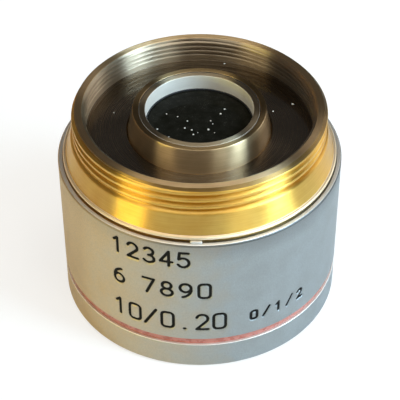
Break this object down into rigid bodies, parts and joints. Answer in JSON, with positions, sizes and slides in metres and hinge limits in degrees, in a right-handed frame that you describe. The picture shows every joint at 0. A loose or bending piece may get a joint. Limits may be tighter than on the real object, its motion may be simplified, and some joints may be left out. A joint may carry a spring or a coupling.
{
  "type": "microscope objective",
  "caption": "Low-power microscope objective: threaded brass mounting ring with a conical rear lens cell in its well, and a plated sleeve with a colour ring.",
  "frame": {"origin": "centre of the nose face that the objective stands on", "axes": "+Z along the optical axis towards the mounting thread, -Y towards the locating key and the engraved side"},
  "size_m": [0.0282, 0.0282, 0.0219],
  "materials": {
    "gilt_brass": "bright turned brass, darkened inside the well",
    "satin_plate": "satin nickel plate on brass",
    "red_lacquer": "gloss lacquer",
    "bright_steel": "bright",
    "bronzed_brass": "chemically darkened, turned",
    "plain_brass": "plain",
    "pale_turned_metal": "fine turned, land darkened",
    "black_anodised": "matt black anodised",
    "coated_glass": "polished, with an anti-reflection coating",
    "flint_glass": "polished"
  },
  "bodies": {
    "root": {"mount_ring": "gilt_brass", "sleeve": "satin_plate", "colour_ring": "red_lacquer", "locating_key": "bright_steel", "lens_barrel": "bronzed_brass", "parfocal_shim": "plain_brass", "lock_ring": "bronzed_brass", "rear_retaining_ring": "pale_turned_metal", "rear_washer": "black_anodised", "rear_crown_lens": "coated_glass", "rear_flint_lens": "flint_glass", "stop_spacer": "black_anodised", "aperture_stop": "black_anodised", "middle_cell": "black_anodised", "middle_lens": "flint_glass", "middle_retaining_ring": "black_anodised", "centring_screws": "bright_steel", "front_spacer": "black_anodised", "front_crown_lens": "coated_glass", "front_flint_lens": "flint_glass", "front_retaining_ring": "black_anodised"}
  },
  "joints": []
}
